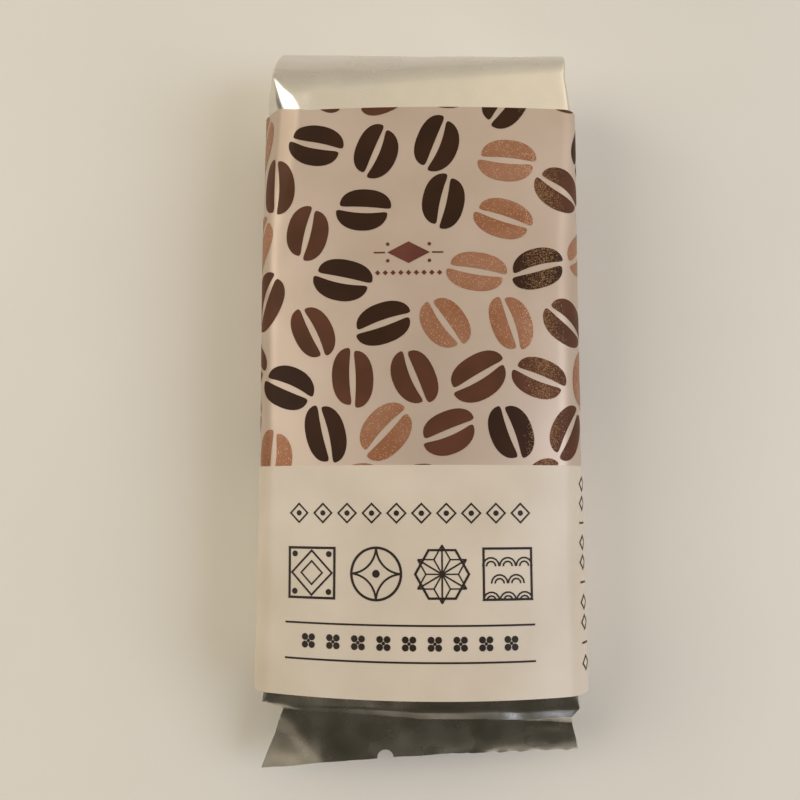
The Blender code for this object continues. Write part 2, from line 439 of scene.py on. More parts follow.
class Wander:
    """Smooth random vectors through space, the same in every run."""

    COUNT = 256

    def __init__(self, seed: int) -> None:
        """Draws the table of random vectors.

        Args:
            seed: the number that fixes them.
        """
        source = np.random.RandomState(seed)
        self.order = source.permutation(self.COUNT)
        self.vectors = source.uniform(-1.0, 1.0, (self.COUNT, 3))

    def at(self, points: np.ndarray, size: float) -> np.ndarray:
        """The random vectors at some points.

        Args:
            points: one row for each point.
            size: distance over which they change.

        Returns:
            One row for each point, each number between -1 and 1.
        """
        cells = points / size
        base = np.floor(cells).astype(int)
        share = smooth(cells - base)
        total = np.zeros_like(points)
        for corner in product((0, 1), repeat=3):
            weight = np.prod(np.where(corner, share, 1.0 - share), axis=1)
            x, y, z = ((base + corner) % self.COUNT).T
            key = self.order[(self.order[(self.order[x] + y) % self.COUNT] + z) % self.COUNT]
            total += weight[:, None] * self.vectors[key]
        return total


def deselect_all() -> None:
    """Leaves object mode with nothing selected."""
    if bpy.context.mode != "OBJECT":
        bpy.ops.object.mode_set(mode="OBJECT")
    bpy.ops.object.select_all(action="DESELECT")


def select_only(obj: bpy.types.Object) -> None:
    """Selects one object alone and makes it the active one."""
    deselect_all()
    obj.select_set(True)
    bpy.context.view_layer.objects.active = obj


def coordinates(obj: bpy.types.Object) -> np.ndarray:
    """The mesh's points, one row each."""
    flat = np.empty(len(obj.data.vertices) * 3)
    obj.data.vertices.foreach_get("co", flat)
    return flat.reshape(-1, 3)


def set_coordinates(obj: bpy.types.Object, points: np.ndarray) -> None:
    """Moves the mesh's points.

    Args:
        obj: the mesh object.
        points: one row for each point.
    """
    obj.data.vertices.foreach_set("co", points.ravel())
    obj.data.update()


def turned(flat: np.ndarray, place: tuple[float, float], turn: float) -> np.ndarray:
    """Flat points turned about their middle and moved to a place.

    Args:
        flat: one row for each point.
        place: where their middle comes.
        turn: the angle in radians.

    Returns:
        The moved points.
    """
    placed = flat.copy()
    placed[:, 0] = place[0] + flat[:, 0] * cos(turn) - flat[:, 1] * sin(turn)
    placed[:, 1] = place[1] + flat[:, 0] * sin(turn) + flat[:, 1] * cos(turn)
    return placed


def flat_grid(
    name: str, columns: int, rows: int, low: tuple[float, float], high: tuple[float, float]
) -> bpy.types.Object:
    """A flat grid of faces between two corners.

    Args:
        name: the object's name.
        columns: faces across.
        rows: faces along.
        low: its lowest corner.
        high: its highest corner.

    Returns:
        The new object, with its size in its mesh.
    """
    deselect_all()
    bpy.ops.mesh.primitive_grid_add(x_subdivisions=columns, y_subdivisions=rows, size=1.0)
    grid = bpy.context.object
    grid.name = name
    grid.data.name = name
    points = coordinates(grid)
    points[:, 0] = mix(low[0], high[0], points[:, 0] + 0.5)
    points[:, 1] = mix(low[1], high[1], points[:, 1] + 0.5)
    set_coordinates(grid, points)
    return grid


def edit(obj: bpy.types.Object, *steps: Callable[[], Any]) -> None:
    """Runs edit-mode steps on the whole of one object.

    Args:
        obj: the mesh object.
        steps: operator calls, run in order with everything selected first.
    """
    select_only(obj)
    bpy.ops.object.mode_set(mode="EDIT")
    bpy.ops.mesh.select_all(action="SELECT")
    for step in steps:
        step()
    bpy.ops.object.mode_set(mode="OBJECT")


def weld(obj: bpy.types.Object, reach: float = 0.001 * MM) -> None:
    """Merges points that lie together.

    Args:
        obj: the mesh object.
        reach: the largest distance that is merged.
    """
    edit(obj, lambda: bpy.ops.mesh.remove_doubles(threshold=reach))


def face_outwards(obj: bpy.types.Object) -> None:
    """Turns all faces of a closed mesh outwards."""
    edit(obj, lambda: bpy.ops.mesh.normals_make_consistent(inside=False))


def thicken(obj: bpy.types.Object, thickness: float, rim_slot: int = 0) -> None:
    """Gives a sheet its thickness, inwards from its outer skin.

    Args:
        obj: the mesh object.
        thickness: the wall.
        rim_slot: how many material slots further on the rim's material lies.
    """
    wall = obj.modifiers.new("wall", "SOLIDIFY")
    wall.thickness = thickness
    wall.offset = -1.0
    wall.use_rim = True
    wall.use_even_offset = True
    wall.material_offset_rim = rim_slot
    select_only(obj)
    bpy.ops.object.modifier_apply(modifier=wall.name)


def trim(obj: bpy.types.Object, place: tuple[float, float], outward: tuple[float, float]) -> None:
    """Cuts off what lies beyond a straight line in a flat layout.

    Args:
        obj: the flat mesh.
        place: a point of the line.
        outward: the direction of the side that is cut off.
    """
    edit(
        obj,
        lambda: bpy.ops.mesh.bisect(
            plane_co=(*place, 0.0),
            plane_no=(*outward, 0.0),
            clear_outer=True,
            threshold=0.00001 * MM,
        ),
    )


def join(name: str, parts: list[bpy.types.Object]) -> bpy.types.Object:
    """Joins objects into one.

    Args:
        name: the joined object's name.
        parts: the objects, which are used up.

    Returns:
        The joined object.
    """
    deselect_all()
    for part in parts:
        part.select_set(True)
    bpy.context.view_layer.objects.active = parts[0]
    if len(parts) > 1:
        bpy.ops.object.join()
    parts[0].name = name
    parts[0].data.name = name
    return parts[0]


def smooth_shade(obj: bpy.types.Object, angle: float) -> None:
    """Shades smooth except at edges sharper than an angle.

    Args:
        obj: the mesh object.
        angle: the largest angle that is smoothed, in radians.
    """
    select_only(obj)
    bpy.ops.object.shade_smooth_by_angle(angle=angle)


def settle(
    obj: bpy.types.Object, materials: Sequence[bpy.types.Material], slot: str, *nodes: str
) -> bpy.types.Object:
    """Gives a finished piece its materials and its place in the part.

    Args:
        obj: the finished piece.
        materials: its materials, first slot first, or none where it has them already.
        slot: not used.
        nodes: the plain solids that it stands for.

    Returns:
        The piece.
    """
    for i, material in enumerate(materials):
        if i < len(obj.data.materials):
            obj.data.materials[i] = material
        else:
            obj.data.materials.append(material)
    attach(obj, BODY)
    if nodes:
        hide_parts(*nodes)
    LOG.info("%s: %d faces", obj.name, len(obj.data.polygons))
    return obj


# The pack's form


# A corner that is folded flat: shares of the way round it, and how far across and up it then is.
FOLD_SHARES = (0.0, 0.5, 1.0)
FOLD_ACROSS = (0.0, 0.45, 1.0)
FOLD_UP = (0.0, 0.73, 1.0)


@dataclass(frozen=True)
class Section:
    """Cross-section of the pack: a rounded box with a domed top and with sides that bulge or fold in."""

    y: float
    left: float
    right: float
    low: float
    top_left: float
    top_right: float
    slant: float = 0.0
    bend: float = 0.0
    dome: float = 0.0
    bulge: float = 0.0
    gusset: float = 0.0
    left_radius: float = 0.15 * MM
    right_radius: float = 0.15 * MM
    low_radius: float = 0.15 * MM
    left_fold: float = 0.0

    def toward(self, other: "Section", t: float) -> "Section":
        """The section a share t of the way to another."""
        names = self.__dataclass_fields__
        return Section(**{name: mix(getattr(self, name), getattr(other, name), t) for name in names})

    def outline(self, wall: int, corner: int, top: int) -> np.ndarray:
        """The closed outline in space, from the left side's middle over the top and back below.

        Args:
            wall: steps up each half side.
            corner: steps round each corner.
            top: steps across the top.

        Returns:
            One row for each point.
        """
        half_width = 0.5 * (self.right - self.left)
        half_height = 0.25 * (self.top_left + self.top_right) - 0.5 * self.low
        steps = (wall, corner, top)
        radii = (self.left_radius, self.right_radius)
        low_radii = (self.low_radius, self.low_radius)
        upper = self.half_box(half_width, half_height, radii, (self.left_fold, 0.0), steps)
        lower = self.half_box(half_width, half_height, low_radii, (0.0, 0.0), steps)
        flat = np.array(upper + [(x, -z) for x, z in lower[-2:0:-1]])
        x, z = flat[:, 0], flat[:, 1]
        across = x / half_width
        up = 0.5 * (z / half_height + 1.0)
        top_line = mix(self.top_left, self.top_right, 0.5 * (across + 1.0))
        height = mix(self.low, top_line, up) + self.dome * up * (1.0 - across**2)
        place = 0.5 * (self.right + self.left) + x + across * self.bulge * 4.0 * up * (1.0 - up)
        along = self.y + self.slant * place + self.bend * across**2
        return np.column_stack((place, along, height))

    def half_box(
        self,
        half_width: float,
        half_height: float,
        radii: tuple[float, float],
        folds: tuple[float, float],
        steps: tuple[int, int, int],
    ) -> list[tuple[float, float]]:
        """Upper half of a rounded box about its middle, from its left side over the top to its right.

        Args:
            half_width: half its width.
            half_height: half its height.
            radii: corner radius at the left and at the right.
            folds: how far each corner is folded, from 0, round, to 1, two flat facets.
            steps: steps up each side, round each corner and across the top.

        Returns:
            Its points.
        """
        wall, corner, top = steps
        runs = []
        for side, radius, fold in zip((-1, 1), radii, folds):
            rise = half_height - radius
            shares = [i / wall for i in range(wall + 1)]
            points = [(-half_width + self.gusset * (1 - share), rise * share) for share in shares]
            for share in [i / corner for i in range(1, corner + 1)]:
                folded_across, folded_up = (
                    float(np.interp(share, FOLD_SHARES, folded)) for folded in (FOLD_ACROSS, FOLD_UP)
                )
                across = mix(1 - cos(0.5 * pi * share), folded_across, fold)
                up = mix(sin(0.5 * pi * share), folded_up, fold)
                points.append((-half_width + radius * across, rise + radius * up))
            runs.append([(side * -x, z) for x, z in points])
        left, right = runs
        across_top = [(mix(left[-1][0], right[-1][0], i / top), half_height) for i in range(1, top)]
        return left + across_top + right[::-1]


@dataclass(frozen=True)
class SleeveForm:
    """The shape that the paper takes round the pack."""

    near: float = -55.3 * MM
    far: float = 54.1 * MM
    half_width: float = 31.0 * MM
    side_bulge: float = 0.8 * MM
    bottom_radius: float = 4.5 * MM
    left_radius: float = 3.2 * MM
    right_radius: float = 4.6 * MM
    far_left_radius: float = 6.7 * MM
    far_left_fold: float = 0.9
    far_right_radius: float = 2.6 * MM
    far_corner_run: float = 30.0 * MM
    near_left: float = 20.6 * MM
    near_right: float = 23.7 * MM
    near_dome: float = 6.3 * MM
    far_left: float = 25.4 * MM
    far_right: float = 26.3 * MM
    far_dome: float = 1.8 * MM
    rest_gap: float = 0.3 * MM
    near_flare: float = 0.3 * MM
    flare_run: float = 30.0 * MM
    far_skew: float = 2.0 * MM
    skew_run: float = 40.0 * MM
    skew_start: float = 21.0 * MM

    def skew(self, places: np.ndarray) -> np.ndarray:
        """How far the paper runs out lengthwise at its far left, where its cut edge isn't quite square.

        Args:
            places: points of the surface, in rows along the pack.

        Returns:
            The shift along the pack of each point.
        """
        x, y, z = places[..., 0], places[..., 1], places[..., 2]
        along = np.clip(1.0 - (self.far - y) / self.skew_run, 0.0, 1.0) ** 2
        over = smooth(np.clip((-x - self.skew_start) / (self.half_width - self.skew_start), 0.0, 1.0))
        under = np.clip(0.5 - 0.5 * x / self.half_width, 0.0, 1.0)
        return self.far_skew * along * np.where(z > 0.5 * self.far_left, over, under)

    def section(self, y: float, inset: float) -> Section:
        """The paper's outer outline at y, moved inwards.

        Args:
            y: the place along the pack.
            inset: how far it is moved inwards.

        Returns:
            The section.
        """
        t = smooth((self.far - y) / (self.far - self.near))
        far_share = 1.0 - smooth(min(1.0, (self.far - y) / self.far_corner_run))
        flare = self.near_flare * smooth(max(0.0, 1.0 - (y - self.near) / self.flare_run))
        half_width = self.half_width + flare - self.side_bulge - inset
        return Section(
            y=y,
            left=-half_width,
            right=half_width,
            low=self.rest_gap + inset,
            top_left=mix(self.far_left, self.near_left, t) - inset,
            top_right=mix(self.far_right, self.near_right, t) - inset,
            dome=mix(self.far_dome, self.near_dome, t),
            bulge=self.side_bulge,
            left_radius=mix(self.left_radius, self.far_left_radius, far_share) - inset,
            right_radius=mix(self.right_radius, self.far_right_radius, far_share) - inset,
            low_radius=self.bottom_radius - inset,
            left_fold=self.far_left_fold * far_share,
        )


class BandSurface:
    """Table of the paper's outer surface, which turns flat print places into places in space.

    A flat place is the distance round the pack from the middle of the top, positive to the right, and the
    distance along it. The distance round is scaled so that the paper has one girth all along.
    """

    SIDE_STEPS = 60
    CORNER_STEPS = 60
    TOP_STEPS = 400
    OUTER_SHARE = 0.9

    def __init__(self, form: SleeveForm, rows: int = 220, step: float = 0.1 * MM) -> None:
        """Samples the surface.

        Args:
            form: the shape that the paper takes.
            rows: steps along the pack.
            step: distance between samples round it.
        """
        self.form = form
        self.rows = rows
        outlines = [self.opened(mix(form.near, form.far, j / rows)) for j in range(rows + 1)]
        lengths = [self.distances(points) for points in outlines]
        self.girth = float(max(length[-1] for length in lengths))
        self.columns = int(round(self.girth / step))
        shares = np.linspace(0.0, 1.0, self.columns + 1)
        table = np.empty((rows + 1, self.columns + 1, 3))
        top = self.top_run()
        for j, (points, length) in enumerate(zip(outlines, lengths)):
            middle = np.interp(0.0, points[top, 0], length[top])
            wanted = np.mod(shares * length[-1] + middle - 0.5 * length[-1], length[-1])
            for axis in range(3):
                table[j, :, axis] = np.interp(wanted, length, points[:, axis])
        table[..., 1] += form.skew(table)
        self.table = table
        around = np.gradient(table, axis=1)
        around[:, 0] = around[:, -1] = table[:, 1] - table[:, -2]
        along = np.gradient(table, axis=0)
        normals = np.cross(around, along)
        self.normals = normals / np.linalg.norm(normals, axis=2, keepdims=True)

    def opened(self, y: float) -> np.ndarray:
        """The closed outline at y with its first point again at its end."""
        ring = self.form.section(y, 0.0).outline(self.SIDE_STEPS, self.CORNER_STEPS, self.TOP_STEPS)
        return np.vstack((ring, ring[:1]))

    def distances(self, points: np.ndarray) -> np.ndarray:
        """The distance of each point of an outline from its first, along it."""
        return np.concatenate(([0.0], np.cumsum(np.linalg.norm(np.diff(points, axis=0), axis=1))))

    def top_run(self) -> slice:
        """Where an outline's points between the two upper corners are in its list."""
        start = self.SIDE_STEPS + self.CORNER_STEPS + 1
        return slice(start, start + self.TOP_STEPS - 1)

    def sample(self, table: np.ndarray, u: np.ndarray, v: np.ndarray) -> np.ndarray:
        """Reads a table between its rows and columns.

        Args:
            table: points or normals.
            u: distances round the pack.
            v: distances along it.

        Returns:
            One row for each place.
        """
        form = self.form
        column = np.mod(u / self.girth + 0.5, 1.0) * self.columns
        row = np.clip((v - form.near) / (form.far - form.near), 0.0, 1.0) * self.rows
        i = np.minimum(column.astype(int), self.columns - 1)
        j = np.minimum(row.astype(int), self.rows - 1)
        s = (column - i)[:, None]
        t = (row - j)[:, None]
        lower = mix(table[j, i], table[j, i + 1], s)
        upper = mix(table[j + 1, i], table[j + 1, i + 1], s)
        return mix(lower, upper, t)

    def wrap(self, obj: bpy.types.Object, lift: Callable[[np.ndarray], np.ndarray] | float = 0.0) -> None:
        """Wraps a flat mesh round the pack.

        Args:
            obj: the mesh, whose x is the distance round, y along and z above the surface.
            lift: extra height above the surface, a number or a function of the distance round.
        """
        flat = coordinates(obj)
        u, v = flat[:, 0], flat[:, 1]
        extra = lift(u) if callable(lift) else lift
        height = (flat[:, 2] + extra)[:, None]
        places = self.sample(self.table, u, v) + self.sample(self.normals, u, v) * height
        set_coordinates(obj, places)

    def points_at(self, y: float) -> np.ndarray:
        """The table's points round the pack at y."""
        return self.table[int(round((y - self.form.near) / (self.form.far - self.form.near) * self.rows))]

    def round_at(self, x: float, y: float) -> float:
        """Distance round the pack of the point of the top at x.

        Args:
            x: the place across.
            y: the place along.

        Returns:
            The distance round.
        """
        points = self.points_at(y)
        top = points[:, 2] > 0.5 * points[:, 2].max()
        shares = np.linspace(-0.5, 0.5, self.columns + 1)
        return float(np.interp(x, points[top, 0], shares[top]) * self.girth)

    def round_on_right(self, height: float, y: float) -> float:
        """Distance round the pack of the point of the right side at a height.

        Args:
            height: the height above the floor.
            y: the place along.

        Returns:
            The distance round.
        """
        points = self.points_at(y)
        outer = points[:, 0] > self.OUTER_SHARE * self.form.half_width
        side = outer & (points[:, 2] > self.form.bottom_radius)
        shares = np.linspace(-0.5, 0.5, self.columns + 1)[side]
        heights = points[side, 2]
        order = np.argsort(heights)
        return float(np.interp(height, heights[order], shares[order]) * self.girth)


# The paper bands


# The far edge of the cream band and its height over the surface, how far the patterned band's near edge
# stays back under it, and how far the outer ply of the glued overlap goes on past the seam.
PANEL_EDGE = -14.3 * MM
PANEL_HEIGHT = 0.2 * MM
BASE_INSET = 0.6 * MM
OVERLAP_END = 6.0 * MM


@dataclass
class PaperBand:
    """The patterned paper strip round the pack, glued with an overlap on the underside."""

    surface: BandSurface
    name: str
    finish: PrintedPaper
    near: float
    far: float
    height: float = 0.0
    paper: float = 0.28 * MM
    over_end: float = OVERLAP_END
    under_end: float = 4.0 * MM
    ply_step: float = 0.31 * MM
    step_run: float = 2.0 * MM
    column: float = 0.6 * MM
    row: float = 1.4 * MM
    smooth_angle: float = radians(40.0)

    def build(self, *nodes: str) -> bpy.types.Object:
        """Builds and dresses the band.

        Args:
            nodes: the plain solids that it stands for.

        Returns:
            The finished band.
        """
        half = 0.5 * self.surface.girth
        low = (-half - self.under_end, self.near)
        high = (half + self.over_end, self.far)
        columns = int((high[0] - low[0]) / self.column)
        rows = int((high[1] - low[1]) / self.row)
        band = flat_grid(self.name, columns, rows, low, high)
        self.surface.wrap(band, self.sink)
        weld(band)
        band.data.materials.append(self.finish.material())
        band.data.materials.append(PAPER_EDGE.material())
        thicken(band, self.paper, rim_slot=1)
        smooth_shade(band, self.smooth_angle)
        return settle(band, (), "sleeve_paper", *nodes)

    def sink(self, u: np.ndarray) -> np.ndarray:
        """Height of the paper over the pack's surface, lower where the under ply lies.

        Args:
            u: distances round the pack.

        Returns:
            Heights, negative below the surface.
        """
        start = -0.5 * self.surface.girth + self.over_end
        share = np.clip((u - start) / self.step_run, 0.0, 1.0)
        return self.height - self.ply_step * (1.0 - smooth(share))


@dataclass
class CreamBand(PaperBand):
    """The cream strip, thinner paper over the patterned one, closed without an overlap."""

    height: float = PANEL_HEIGHT
    paper: float = 0.17 * MM
    over_end: float = 0.0
    under_end: float = 0.0
    ply_step: float = 0.0


# The print


# How high the ink's outer face lies over its paper, how thick the film is, and where the ornament is.
PRINT_LIFT = 0.055 * MM
INK_FILM = 0.02 * MM
ORNAMENT_PLACE = (-2.2 * MM, 24.1 * MM)


@dataclass(frozen=True)
class BeanShape:
    """One printed bean: two lobes with rounded tips on either side of an open groove."""

    half_length: float = 5.15 * MM
    half_breadth: float = 3.95 * MM
    groove_tip: float = 0.22 * MM
    groove_middle: float = 0.62 * MM
    tip_rise: float = 0.55 * MM
    slide: float = 0.3 * MM
    groove_power: float = 14.0
    back_power: float = 2.25
    length_spread: tuple[float, float] = (0.95, 1.05)
    breadth_spread: tuple[float, float] = (0.93, 1.05)
    most_bow: float = 0.35 * MM
    columns: int = 18
    rows: int = 8

    def lobe(
        self, name: str, side: int, half_length: float, half_breadth: float, bow: float
    ) -> bpy.types.Object:
        """Models one lobe flat about the bean's middle.

        Args:
            name: the object's name.
            side: 1 for the upper lobe and -1 for the lower.
            half_length: half the lobe's length.
            half_breadth: the bean's half breadth.
            bow: how far the groove bows sideways at its middle.

        Returns:
            The flat lobe.
        """
        grid = flat_grid(name, self.columns, self.rows, (-1.0, 0.0), (1.0, 1.0))
        flat = coordinates(grid)
        t = np.sin(0.5 * pi * flat[:, 0])
        share = flat[:, 1]
        tip = self.groove_tip + self.tip_rise
        arch = 1.0 - t**2
        pinch = 1.0 - np.sqrt(np.clip(1.0 - np.abs(t) ** self.groove_power, 0.0, 1.0))
        inner = mix(self.groove_tip, self.groove_middle, arch) + self.tip_rise * pinch
        back = np.sqrt(np.clip(1.0 - np.abs(t) ** self.back_power, 0.0, 1.0))
        outer = tip + (half_breadth - tip) * back
        points = np.zeros_like(flat)
        points[:, 0] = t * half_length + side * self.slide
        points[:, 1] = side * mix(inner, outer, share) + bow * arch
        set_coordinates(grid, points)
        if side < 0:
            edit(grid, bpy.ops.mesh.flip_normals)
        weld(grid)
        return grid

    def build(
        self, name: str, place: tuple[float, float], turn: float, chance: random.Random
    ) -> bpy.types.Object:
        """Models one bean flat at its place.

        Args:
            name: the object's name.
            place: distance round the pack and along it.
            turn: its angle in radians.
            chance: the source of its small differences.

        Returns:
            The flat bean.
        """
        length = self.half_length * chance.uniform(*self.length_spread)
        breadth = self.half_breadth * chance.uniform(*self.breadth_spread)
        bow = chance.uniform(-self.most_bow, self.most_bow)
        bean = join(name, [self.lobe(name, side, length, breadth, bow) for side in (1, -1)])
        set_coordinates(bean, turned(coordinates(bean), place, turn))
        return bean


@dataclass
class BeanScatter:
    """Beans strewn over the pearly field at near-even spacing, in three inks."""

    surface: BandSurface
    shape: BeanShape = BeanShape()
    count: int = 106
    seed: int = 23
    rounds: int = 90
    push_share: float = 0.35
    packing: float = 1.155
    near: float = PANEL_EDGE
    overrun: float = 4.0 * MM
    clear_place: tuple[float, float] = ORNAMENT_PLACE
    clear_reach: float = 1.12
    ink_shares: tuple[tuple[Ink, int], ...] = ((Ink.DARK, 36), (Ink.BROWN, 30), (Ink.COPPER, 34))
    cut_margin: float = 0.02 * MM
    seam_margin: float = 0.1 * MM

    def places(self) -> list[tuple[float, float]]:
        """Chooses bean centres by pushing random ones apart, also across the seam.

        They are pushed towards the spacing of evenly packed points, each as far from six others. The place
        of the small ornament takes part as a point that doesn't move.

        Returns:
            Each bean's place round the pack and along it.
        """
        girth = self.surface.girth
        low, high = self.near - self.overrun, self.surface.form.far + self.overrun
        source = np.random.RandomState(self.seed)
        points = np.column_stack(
            (source.uniform(-0.5 * girth, 0.5 * girth, self.count), source.uniform(low, high, self.count))
        )
        reach = np.sqrt(self.packing * girth * (high - low) / self.count)
        points = np.vstack((self.clear_place, points))
        reaches = np.full(len(points), reach)
        reaches[0] = self.clear_reach * reach
        for _ in range(self.rounds):
            gaps = points[:, None, :] - points[None, :, :]
            gaps[..., 0] = np.mod(gaps[..., 0] + 0.5 * girth, girth) - 0.5 * girth
            distance = np.hypot(gaps[..., 0], gaps[..., 1]) + np.eye(len(points))
            wanted = np.maximum(reaches[:, None], reaches[None, :])
            push = np.clip(wanted - distance, 0.0, None) / distance
            points = points + self.push_share * (gaps * push[..., None]).sum(axis=1)
            points[0] = self.clear_place
            points[:, 0] = np.mod(points[:, 0] + 0.5 * girth, girth) - 0.5 * girth
            points[:, 1] = np.clip(points[:, 1], low, high)
        return [(x, y) for x, y in points[1:]]

    def build(self) -> list[bpy.types.Object]:
        """Builds the beans, one joined film for each ink."""
        chance = random.Random(self.seed)
        groups: dict[Ink, list[bpy.types.Object]] = {ink: [] for ink, _ in self.ink_shares}
        weights = [share for _, share in self.ink_shares]
        for place in self.places():
            ink = chance.choices(list(groups), weights=weights)[0]
            turn = chance.uniform(0.0, pi)
            groups[ink].append(self.shape.build("bean", place, turn, chance))
        return [self.film_of(ink, parts) for ink, parts in groups.items()]

    def film_of(self, ink: Ink, parts: list[bpy.types.Object]) -> bpy.types.Object:
        """Joins, trims and wraps the beans of one ink.

        Args:
            ink: the ink.
            parts: its flat beans.

        Returns:
            The finished film.
        """
        film = join("bean_print_" + ink.name.lower(), parts)
        form = self.surface.form
        half = 0.5 * self.surface.girth
        trim(film, (0.0, form.far - self.cut_margin), (0.0, 1.0))
        trim(film, (0.0, self.near + self.cut_margin), (0.0, -1.0))
        trim(film, (half + OVERLAP_END - self.seam_margin, 0.0), (1.0, 0.0))
        trim(film, (-half + OVERLAP_END + self.seam_margin, 0.0), (-1.0, 0.0))
        self.surface.wrap(film, PRINT_LIFT)
        thicken(film, INK_FILM)
        return settle(film, (ink.value.material(),), "sleeve_paper")


class Plate:
    """Flat layout of one ink: strokes, rings and dots that become one wrapped film."""

    PLY = 0.001 * MM
    PLIES = 8
    LINE_STEP = 1.2 * MM
    SIDE_STEP = 1.5 * MM
    ARC_STEP = 0.6 * MM
    ARC_STEPS = 6
    ROUND_SIDES = 12

    def __init__(self, name: str, surface: BandSurface, ink: Ink) -> None:
        """Starts an empty layout.

        Args:
            name: the film's name.
            surface: the surface that it is wrapped on.
            ink: its ink.
        """
        self.name = name
        self.surface = surface
        self.ink = ink
        self.parts: list[bpy.types.Object] = []

    def keep(self, part: bpy.types.Object) -> None:
        """Adds a flat part, a hair above the one before, so that crossing ones don't lie in one plane."""
        points = coordinates(part)
        points[:, 2] += self.PLY * (len(self.parts) % self.PLIES)
        set_coordinates(part, points)
        self.parts.append(part)

    def stroke(self, start: tuple[float, float], end: tuple[float, float], width: float) -> None:
        """Draws a straight line.

        Args:
            start: one end.
            end: the other end.
            width: its thickness.
        """
        way = Vector(end) - Vector(start)
        steps = max(1, int(way.length / self.LINE_STEP))
        line = flat_grid("stroke", steps, 1, (0.0, -0.5 * width), (way.length, 0.5 * width))
        flat = coordinates(line)
        along = np.array(way.normalized())
        across = np.array((-along[1], along[0]))
        placed = np.zeros_like(flat)
        placed[:, :2] = np.array(start) + flat[:, :1] * along + flat[:, 1:2] * across
        set_coordinates(line, placed)
        self.keep(line)

    def ring(
        self, place: tuple[float, float], radius: float, sides: int, width: float, turn: float = 0.0
    ) -> None:
        """Draws a circle or a regular shape as a thin outline.

        Args:
            place: its middle.
            radius: from its middle to its corners.
            sides: how many sides it has.
            width: the line's thickness.
            turn: its angle in radians.
        """
        deselect_all()
        bpy.ops.mesh.primitive_circle_add(vertices=sides, radius=radius, fill_type="NGON")
        ring = bpy.context.object
        edit(
            ring,
            lambda: bpy.ops.mesh.inset(thickness=width),
            lambda: bpy.ops.mesh.delete(type="FACE"),
        )
        if sides < self.ROUND_SIDES:
            cuts = max(1, int(radius / self.SIDE_STEP))
            edit(ring, lambda: bpy.ops.mesh.subdivide(number_cuts=cuts))
        set_coordinates(ring, turned(coordinates(ring), place, turn))
        self.keep(ring)

    def dot(self, place: tuple[float, float], radius: float, sides: int, stretch: float = 1.0) -> None:
        """Draws a filled dot or lozenge.

        Args:
            place: its middle.
            radius: from its middle to its corners.
            sides: how many sides it has.
            stretch: its width over its height.
        """
        deselect_all()
        bpy.ops.mesh.primitive_circle_add(vertices=sides, radius=radius, fill_type="TRIFAN")
        dot = bpy.context.object
        if radius > self.SIDE_STEP:
            edit(dot, lambda: bpy.ops.mesh.subdivide(number_cuts=2))
        placed = coordinates(dot)
        placed[:, 0] = place[0] + placed[:, 0] * stretch
        placed[:, 1] = place[1] + placed[:, 1]
        set_coordinates(dot, placed)
        self.keep(dot)

    def arc(
        self, place: tuple[float, float], radius: float, start: float, sweep: float, width: float
    ) -> None:
        """Draws part of a circle.

        Args:
            place: the circle's middle.
            radius: the circle's radius.
            start: its first angle in radians.
            sweep: the angle that it covers.
            width: the line's thickness.
        """
        steps = max(self.ARC_STEPS, int(radius * abs(sweep) / self.ARC_STEP))
        outer, inner = radius + 0.5 * width, radius - 0.5 * width
        arc = flat_grid("arc", steps, 1, (start, outer), (start + sweep, inner))
        flat = coordinates(arc)
        placed = np.zeros_like(flat)
        placed[:, 0] = place[0] + flat[:, 1] * np.cos(flat[:, 0])
        placed[:, 1] = place[1] + flat[:, 1] * np.sin(flat[:, 0])
        set_coordinates(arc, placed)
        self.keep(arc)

    def press(self, lift: float) -> bpy.types.Object:
        """Joins the layout, wraps it and gives it its thickness.

        Args:
            lift: the film's height above the patterned band.

        Returns:
            The finished film.
        """
        sheet = join(self.name, self.parts)
        self.surface.wrap(sheet, lift)
        thicken(sheet, INK_FILM)
        return settle(sheet, (self.ink.value.material(),), "sleeve_paper")


@dataclass(frozen=True)
class SquareMotif:
    """A square with two lozenges inside it and a dot in each corner."""

    radii: tuple[float, float, float] = (6.6 * MM, 4.2 * MM, 2.3 * MM)
    lines: tuple[float, float, float] = (0.45 * MM, 0.35 * MM, 0.3 * MM)
    turns: tuple[float, float, float] = (pi / 4, 0.0, 0.0)
    corner: float = 3.35 * MM
    dot: float = 0.55 * MM

    def draw(self, plate: Plate, x: float, y: float) -> None:
        """Draws it about a place."""
        for radius, line, turn in zip(self.radii, self.lines, self.turns):
            plate.ring((x, y), radius, 4, line, turn)
        for across, along in product((-1, 1), repeat=2):
            plate.dot((x + across * self.corner, y + along * self.corner), self.dot, 14)


@dataclass(frozen=True)
class CircleMotif:
    """A circle filled with four arcs, with a dot in its middle."""

    radius: float = 4.8 * MM
    line: float = 0.45 * MM
    arc_line: float = 0.36 * MM
    dot: float = 0.7 * MM

    def draw(self, plate: Plate, x: float, y: float) -> None:
        """Draws it about a place."""
        plate.ring((x, y), self.radius, 56, self.line)
        reach = self.radius * 2**0.5
        for i in range(4):
            angle = pi / 4 + i * pi / 2
            place = (x + reach * cos(angle), y + reach * sin(angle))
            plate.arc(place, self.radius, angle + 0.75 * pi, 0.5 * pi, self.arc_line)
        plate.dot((x, y), self.dot, 16)


